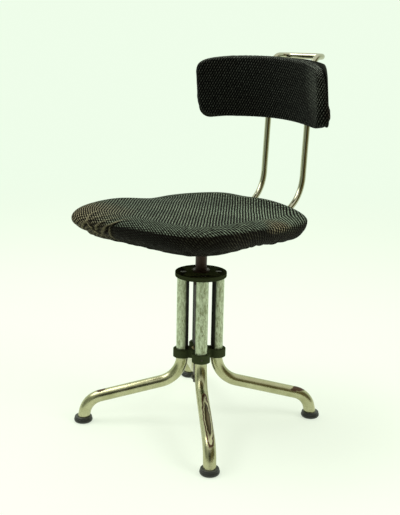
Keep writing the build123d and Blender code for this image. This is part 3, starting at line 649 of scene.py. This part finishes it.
# The padding is plumper beside the front right corner.
PLUMP_PLACE = math.radians(216)
PLUMP_WIDTH = 0.26
PLUMP_HEIGHT = 0.0045
# The corner itself has slumped: its widest line is lower and its underside flatter.
SLUMP_PLACE = math.radians(240)
SLUMP_WIDTH = 0.42
SLUMP_RIM = 0.009
SLUMP_UNDER = 0.014
# Creases near that corner: place round the rim in degrees, slant, width in radians, height
SEAT_CREASES = [
    (251.0, 0.09, 0.009, 0.0025),
    (253.5, -0.06, 0.009, 0.0025),
    (258.0, 0.07, 0.008, 0.0020),
    (262.5, 0.10, 0.010, 0.0040),
    (264.5, 0.04, 0.008, 0.0025),
]
# A crease's valley lies this many widths beside its ridge, and is this deep for each unit of height.
VALLEY_SHIFT = 2.2
VALLEY_DEPTH = 0.5
# The cover was pulled askew as it was stretched down over the rim.
SEAT_CLOTH_PULL = -0.65


def seat_outline(turn):
    """Distance from the middle of the seat's widest line to its rim at each angle."""
    half_width = (SEAT_HIGH.x - SEAT_LOW.x) / 2 - COVER_GAP
    front = SEAT_WIDEST_Y - SEAT_LOW.y - COVER_GAP
    rear = SEAT_HIGH.y - SEAT_WIDEST_Y - COVER_GAP
    return np.where(
        np.sin(turn) < 0,
        superellipse(turn, half_width, front, SEAT_FRONT_POWER),
        superellipse(turn, half_width, rear, SEAT_REAR_POWER),
    )


def seat_heights(turn):
    """Height of the rim's widest line, and how far the cover rises above it and drops below it."""
    sine = np.sin(turn)
    rim_z = (
        SEAT_RIM_Z
        + SEAT_REAR_LIFT * np.maximum(sine, 0) ** 2
        + SEAT_FRONT_LIFT * np.maximum(-sine, 0) ** 2
        + SEAT_CORNER_LIFT * np.sin(2 * turn) ** 2
    )
    slump = swelling(turn, SLUMP_PLACE, SLUMP_WIDTH)
    return rim_z - SLUMP_RIM * slump, SEAT_CROWN + SLUMP_RIM * slump, SEAT_DROP - SLUMP_UNDER * slump


def seat_creases(turn, angle):
    """How far the creases push the rim out at one ring, how worn they leave their ridges, and their painted shade
    in the valleys.
    """
    pushed = np.zeros_like(turn)
    worn = np.zeros_like(turn)
    for middle, lean, width, height in SEAT_CREASES:
        beside = (turn - math.radians(middle) - lean * angle) / width
        ridge = np.exp(-(beside**2)) * math.cos(angle)
        valley = np.exp(-((beside - VALLEY_SHIFT) ** 2)) * math.cos(angle)
        pushed += height * (ridge - VALLEY_DEPTH * valley)
        # Painted shade: the valleys get negative values here, which paint them dark.
        worn += ridge - valley
    return pushed, worn


def seat_edge(turn, reach):
    """Distance, height, and the creases' worn ridges and painted shade, for each ring from the top's edge round
    the rim to the gathered hem.
    """
    rim_z, crown, drop = seat_heights(turn)
    gather = ripple(turn, seed=3, count=9, fewest=24, most=60)
    folds = ripple(turn, seed=5, count=7, fewest=60, most=110)
    plump = PLUMP_HEIGHT * swelling(turn, PLUMP_PLACE, PLUMP_WIDTH)
    rows = []
    for step in range(1, SEAT_EDGE_RINGS + 1):
        angle = math.pi / 2 - math.pi * step / SEAT_EDGE_RINGS
        inset = SEAT_EDGE_INSET * (1 - math.cos(angle))
        low = max(0.0, -math.sin(angle))
        pushed, worn = seat_creases(turn, angle)
        distance = reach - inset + (gather * GATHER_OUT + folds * FOLD_OUT) * low + pushed
        height = rim_z + (folds * FOLD_UP + gather * GATHER_UP) * low
        if angle > 0:
            height = height + crown * math.sin(angle) + plump * math.sin(2 * angle)
        elif angle < 0:
            outside_board = max(0.0, BOARD_EDGE_INSET - inset)
            highest = BOARD_LOW.z - BELOW_BOARD + RIM_SLOPE * outside_board
            height = np.minimum(height + drop * math.sin(angle), highest)
        rows.append((distance, height, worn))
    for inset, above_board in SEAT_HEM:
        height = np.full_like(turn, BOARD_LOW.z + above_board)
        rows.append((reach - inset + gather * HEM_GATHER, height, np.zeros_like(turn)))
    return rows


def seat_ring(outward, distance, height):
    """Ring of points at a distance from the middle of the seat's widest line."""
    return np.c_[outward * distance[:, None] + [0, SEAT_WIDEST_Y], height]


def seat_cushion():
    """Crowned pad with a fat rim that rolls under to a gathered hem round the board."""
    turn = np.linspace(0, 2 * math.pi, SEAT_AROUND, endpoint=False)
    outward = np.c_[np.cos(turn), np.sin(turn)]
    askew = np.c_[-np.sin(turn), np.cos(turn)] * SEAT_CLOTH_PULL
    reach = seat_outline(turn)
    inner = reach - SEAT_EDGE_INSET
    rim_z, crown, _ = seat_heights(turn)
    rings, cloth, crease_wear_and_shade = [], [], []
    for step in range(1, SEAT_TOP_RINGS + 1):
        part = step / SEAT_TOP_RINGS
        height = SEAT_MIDDLE_Z + (rim_z + crown - SEAT_MIDDLE_Z) * part**2
        rings.append(seat_ring(outward, inner * part, height))
        cloth.append(outward * (inner * part)[:, None])
        crease_wear_and_shade.append(np.zeros_like(turn))

    # Beyond the top's edge the cloth is laid on at its real length.
    length = np.zeros_like(turn)
    for distance, height, worn in seat_edge(turn, reach):
        ring = seat_ring(outward, distance, height)
        length = length + np.linalg.norm(ring - rings[-1], axis=1)
        rings.append(ring)
        cloth.append(outward * (inner + length)[:, None] + askew * length[:, None])
        crease_wear_and_shade.append(worn)

    top_middle = [[0, SEAT_WIDEST_Y, SEAT_MIDDLE_Z]]
    under_middle = [[0, SEAT_WIDEST_Y, BOARD_LOW.z + SEAT_HEM[-1][1]]]
    points = np.concatenate(rings + [top_middle, under_middle])
    flat = np.concatenate(cloth + [[[0, 0]], [[0, 0]]])
    crease_wear_and_shade_points = np.concatenate(crease_wear_and_shade + [[0, 0]])
    cushion = make_mesh("seat_cushion", points, ring_faces(len(rings), SEAT_AROUND), flat, crease_wear_and_shade_points)
    cushion.data.materials.append(MATERIALS["seat_fabric"])
    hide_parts("seat_cover", "seat_pad")
    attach(cushion, "seat")


# ---------------------------------------------------------------- backrest cushion
BACK_AROUND = 360
BACK_FACE_RINGS = 16
BACK_EDGE_RINGS = 10
BACK_SIDE_RINGS = 5
BACK_LEAN = math.radians(-9.5)
BACK_ROLL = math.radians(-2.0)
BACK_RADIUS = 0.215
BACK_HALF_ANGLE = math.radians(48.5)
BACK_HALF_LENGTH = BACK_RADIUS * BACK_HALF_ANGLE
BACK_HALF_HEIGHT = 0.0655
BACK_HALF_DEPTH = 0.014
BACK_UPPER_POWER = 7.5
BACK_LOWER_POWER = 5.4
# Middle of the pad from the tilt's pivot, before it leans
BACK_MIDDLE = Vector((0.0, -0.050, 0.013))
# The front face's edge lies this far inside the pad's full depth, and its middle stands out more.
BACK_FACE_INSET = 0.002
BACK_CROWN = 0.004
BACK_FRONT_DEPTH = BACK_FACE_INSET - BACK_HALF_DEPTH
# Rounding of the front edge, which is flatter than a circle, then the boxed side and the rear edge
BACK_EDGE = 0.010
BACK_EDGE_DEPTH = 0.8 * BACK_EDGE
BACK_SIDE_DEPTH = 0.0105
BACK_REAR_EDGE = 0.0075
# Cloth used up by each ring of the boxed side, the rear edge and the hem
BACK_SIDE_CLOTH = 0.0021
BACK_REAR_CLOTH = 0.0014
BACK_HEM_CLOTH = 0.008
# The hem folded over the pan: how far in from the edge, and how far behind the middle
BACK_HEM = [(0.022, 0.0145), (0.0245, 0.0125), (0.026, 0.0105)]
# How far the gathers move the front edge, the side, the rear edge and the hem
BACK_GATHERS = (0.0006, 0.0008, 0.0012, 0.0025)
# How far the rear of each end stands out, in metres, from the bottom of the pad to its top
END_HEIGHTS = [-1.0, -0.8, -0.55, -0.3, 0.0, 0.5, 1.0]
END_SWELL = [-0.013, -0.002, 0.004, 0.003, -0.003, -0.006, -0.012]
# The swell fades out from the ends over this part of the half length.
END_PART = 0.4


def back_place(along, up, depth):
    """World positions from distances along the pad's curve, up it and behind it."""
    turn = along / BACK_RADIUS
    radius = BACK_RADIUS + depth
    x = radius * np.sin(turn)
    y = radius * np.cos(turn) - BACK_RADIUS
    rolled_x = x * math.cos(BACK_ROLL) - up * math.sin(BACK_ROLL)
    rolled_z = x * math.sin(BACK_ROLL) + up * math.cos(BACK_ROLL)
    local_y = y + BACK_MIDDLE.y
    local_z = rolled_z + BACK_MIDDLE.z
    world_y = PIVOT.y + local_y * math.cos(BACK_LEAN) + local_z * math.sin(BACK_LEAN)
    world_z = PIVOT.z - local_y * math.sin(BACK_LEAN) + local_z * math.cos(BACK_LEAN)
    return np.c_[rolled_x, world_y, world_z]


def back_profile():
    """Inset, depth, gathering and cloth of each ring round the edge, from the front face to the hem."""
    at_front, at_side, at_rear, at_hem = BACK_GATHERS
    quarter = [math.pi / 2 * step / BACK_EDGE_RINGS for step in range(1, BACK_EDGE_RINGS + 1)]
    front_cloth = BACK_EDGE * math.pi / 2 / BACK_EDGE_RINGS
    rows = []
    for angle in quarter:
        depth = BACK_FRONT_DEPTH + BACK_EDGE_DEPTH * (1 - math.cos(angle))
        rows.append((BACK_EDGE * (1 - math.sin(angle)), depth, at_front, front_cloth))
    for step in range(1, BACK_SIDE_RINGS + 1):
        depth = BACK_FRONT_DEPTH + BACK_EDGE_DEPTH + BACK_SIDE_DEPTH * step / BACK_SIDE_RINGS
        rows.append((0.0, depth, at_side, BACK_SIDE_CLOTH))
    for angle in quarter:
        depth = BACK_HALF_DEPTH - BACK_REAR_EDGE + BACK_REAR_EDGE * math.sin(angle)
        rows.append((BACK_EDGE * (1 - math.cos(angle)), depth, at_rear, BACK_REAR_CLOTH))
    for inset, depth in BACK_HEM:
        rows.append((inset, depth, at_hem, BACK_HEM_CLOTH))
    return rows


def back_ring(turn, distance, depth):
    """Ring of points at a distance from the pad's middle, with the ends' swell behind the face."""
    along = np.cos(turn) * distance
    up = np.sin(turn) * distance
    end = np.clip(1 - (1 - np.abs(along) / BACK_HALF_LENGTH) / END_PART, 0, 1)
    behind = np.clip((depth + BACK_HALF_DEPTH) / (2 * BACK_HALF_DEPTH), 0, 1)
    swell = np.interp(up / BACK_HALF_HEIGHT, END_HEIGHTS, END_SWELL) * end * behind
    return back_place(along, up, depth + swell)


def back_cushion():
    """Curved pad, hollow towards the sitter, with a boxed edge that stands out further low down."""
    turn = np.linspace(0, 2 * math.pi, BACK_AROUND, endpoint=False)
    outward = np.c_[np.cos(turn), np.sin(turn)]
    reach = np.where(
        np.sin(turn) < 0,
        superellipse(turn, BACK_HALF_LENGTH, BACK_HALF_HEIGHT, BACK_LOWER_POWER),
        superellipse(turn, BACK_HALF_LENGTH, BACK_HALF_HEIGHT, BACK_UPPER_POWER),
    )
    face = reach - BACK_EDGE
    rings, cloth = [], []
    for step in range(1, BACK_FACE_RINGS + 1):
        part = step / BACK_FACE_RINGS
        rings.append(back_ring(turn, face * part, BACK_FRONT_DEPTH - BACK_CROWN * (1 - part**2)))
        cloth.append(outward * (face * part)[:, None])

    gather = ripple(turn, seed=11, count=9, fewest=30, most=90)
    length = 0.0
    for inset, depth, gathered, used in back_profile():
        length += used
        rings.append(back_ring(turn, reach - inset + gather * gathered, depth))
        cloth.append(outward * (face + length)[:, None])

    middle = np.zeros(1)
    front_middle = back_place(middle, middle, middle + BACK_FRONT_DEPTH - BACK_CROWN)
    rear_middle = back_place(middle, middle, middle + BACK_HEM[-1][1])
    points = np.concatenate(rings + [front_middle, rear_middle])
    flat = np.concatenate(cloth + [[[0, 0]], [[0, 0]]])
    cushion = make_mesh("back_cushion", points, ring_faces(len(rings), BACK_AROUND), flat)
    cushion.data.materials.append(MATERIALS["back_fabric"])
    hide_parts("back_cover", "back_pad")
    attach(cushion, "backrest")


seat_cushion()
back_cushion()


# ---------------------------------------------------------------- stage and light
FLOOR_REACH = 60.0
# The floor near the chair is lit, and fades into the backdrop between these distances.
FLOOR_FADE = (0.5, 3.5)
BACKDROP = colour(0.86, 0.985, 0.82)
# The dark room starts this far from the chair, on the floor and by direction.
ROOM_ON_FLOOR = (0.6, 1.1)
ROOM_BY_DIRECTION = (-0.35, 0.1)
CEILING = (0.55, 0.85)
# Light and shade across the room, from the sitter's right to their left
ROOM_BANDS = [
    (0.0, colour(0.20, 0.23, 0.17)),
    (0.30, colour(0.42, 0.46, 0.36)),
    (0.40, colour(0.02, 0.02, 0.012)),
    (0.62, colour(0.02, 0.018, 0.010)),
    (0.72, colour(0.20, 0.17, 0.07)),
    (1.0, colour(0.12, 0.10, 0.04)),
]
ACROSS_ROOM = (math.cos(VIEW_AZIMUTH), math.sin(VIEW_AZIMUTH), 0)
TOWARDS_ROOM = (math.sin(VIEW_AZIMUTH), -math.cos(VIEW_AZIMUTH), 0)


def room_colour(nodes, place):
    """The dark room's colour in the direction of a place."""
    direction = nodes.vector_math("NORMALIZE", place)
    across = nodes.times(nodes.along(direction, ACROSS_ROOM), 0.5)
    return nodes.bands(nodes.plus(across, 0.5), ROOM_BANDS)


def make_stage():
    """Wide pale floor that fades into the backdrop, with soft, shallow shadows."""
    mesh = bpy.data.meshes.new("floor")
    corners = [
        (-FLOOR_REACH, -FLOOR_REACH, 0),
        (FLOOR_REACH, -FLOOR_REACH, 0),
        (FLOOR_REACH, FLOOR_REACH, 0),
        (-FLOOR_REACH, FLOOR_REACH, 0),
    ]
    mesh.from_pydata(corners, [], [(0, 1, 2, 3)])
    floor = bpy.data.objects.new("floor", mesh)
    bpy.context.scene.collection.objects.link(floor)
    material, nodes, shader = new_material("pale_floor")
    place = coordinates(nodes)
    far = nodes.ramp(nodes.length(place), *FLOOR_FADE)
    nodes.link(nodes.mix(far, colour(0.42, 0.44, 0.40), colour(0, 0, 0)), shader.inputs["Base Color"])
    glow = nodes.mix(far, colour(0.53, 0.58, 0.49), BACKDROP)
    seen = nodes.add("ShaderNodeLightPath").outputs["Is Camera Ray"]
    in_room = nodes.ramp(nodes.along(place, TOWARDS_ROOM), *ROOM_ON_FLOOR)
    in_room = nodes.times(in_room, nodes.minus(1.0, seen))
    nodes.link(nodes.mix(in_room, glow, room_colour(nodes, place)), shader.inputs["Emission Color"])
    shader.inputs["Emission Strength"].default_value = 1.0
    shader.inputs["Roughness"].default_value = 1.0
    shader.inputs["Specular IOR Level"].default_value = 0.0
    mesh.materials.append(material)


def make_world():
    """Pale backdrop behind the chair, a soft light overhead and a dark room in front of it."""
    world = bpy.data.worlds.new("studio")
    bpy.context.scene.world = world
    world.use_nodes = True
    tree = world.node_tree
    tree.nodes.clear()
    nodes = Nodes(tree)
    place = coordinates(nodes, "Generated")
    ceiling = nodes.ramp(nodes.split(place)["Z"], *CEILING)
    in_room = nodes.ramp(nodes.along(place, TOWARDS_ROOM), *ROOM_BY_DIRECTION)
    walls = nodes.mix(in_room, colour(0.80, 0.90, 0.76), room_colour(nodes, place))
    around = nodes.mix(ceiling, walls, colour(0.95, 0.98, 0.90))
    seen = nodes.add("ShaderNodeLightPath").outputs["Is Camera Ray"]
    background = nodes.add("ShaderNodeBackground")
    nodes.link(nodes.mix(seen, around, BACKDROP), background.inputs["Color"])
    output = nodes.add("ShaderNodeOutputWorld")
    nodes.link(background.outputs[0], output.inputs["Surface"])


def area_light(name, place, target, size, power, tint, seen_in_metal):
    """Square soft light at a place, turned to a target."""
    data = bpy.data.lights.new(name, "AREA")
    data.shape = "RECTANGLE"
    data.size = size
    data.size_y = size
    data.energy = power
    data.color = tint
    lamp = bpy.data.objects.new(name, data)
    lamp.location = place
    aim = Vector(target) - Vector(place)
    lamp.rotation_euler = aim.to_track_quat("-Z", "Y").to_euler()
    lamp.visible_glossy = seen_in_metal
    bpy.context.scene.collection.objects.link(lamp)


make_stage()
make_world()
area_light(
    "key",
    place=(-1.2, -1.0, 2.6),
    target=(0, 0, 0.35),
    size=1.6,
    power=34,
    tint=(1.0, 1.0, 0.96),
    seen_in_metal=True,
)
area_light(
    "side",
    place=(2.2, 0.6, 2.0),
    target=(0, 0, 0.4),
    size=1.2,
    power=26,
    tint=(0.97, 1.0, 0.97),
    seen_in_metal=False,
)
bpy.context.scene.view_settings.view_transform = "Standard"
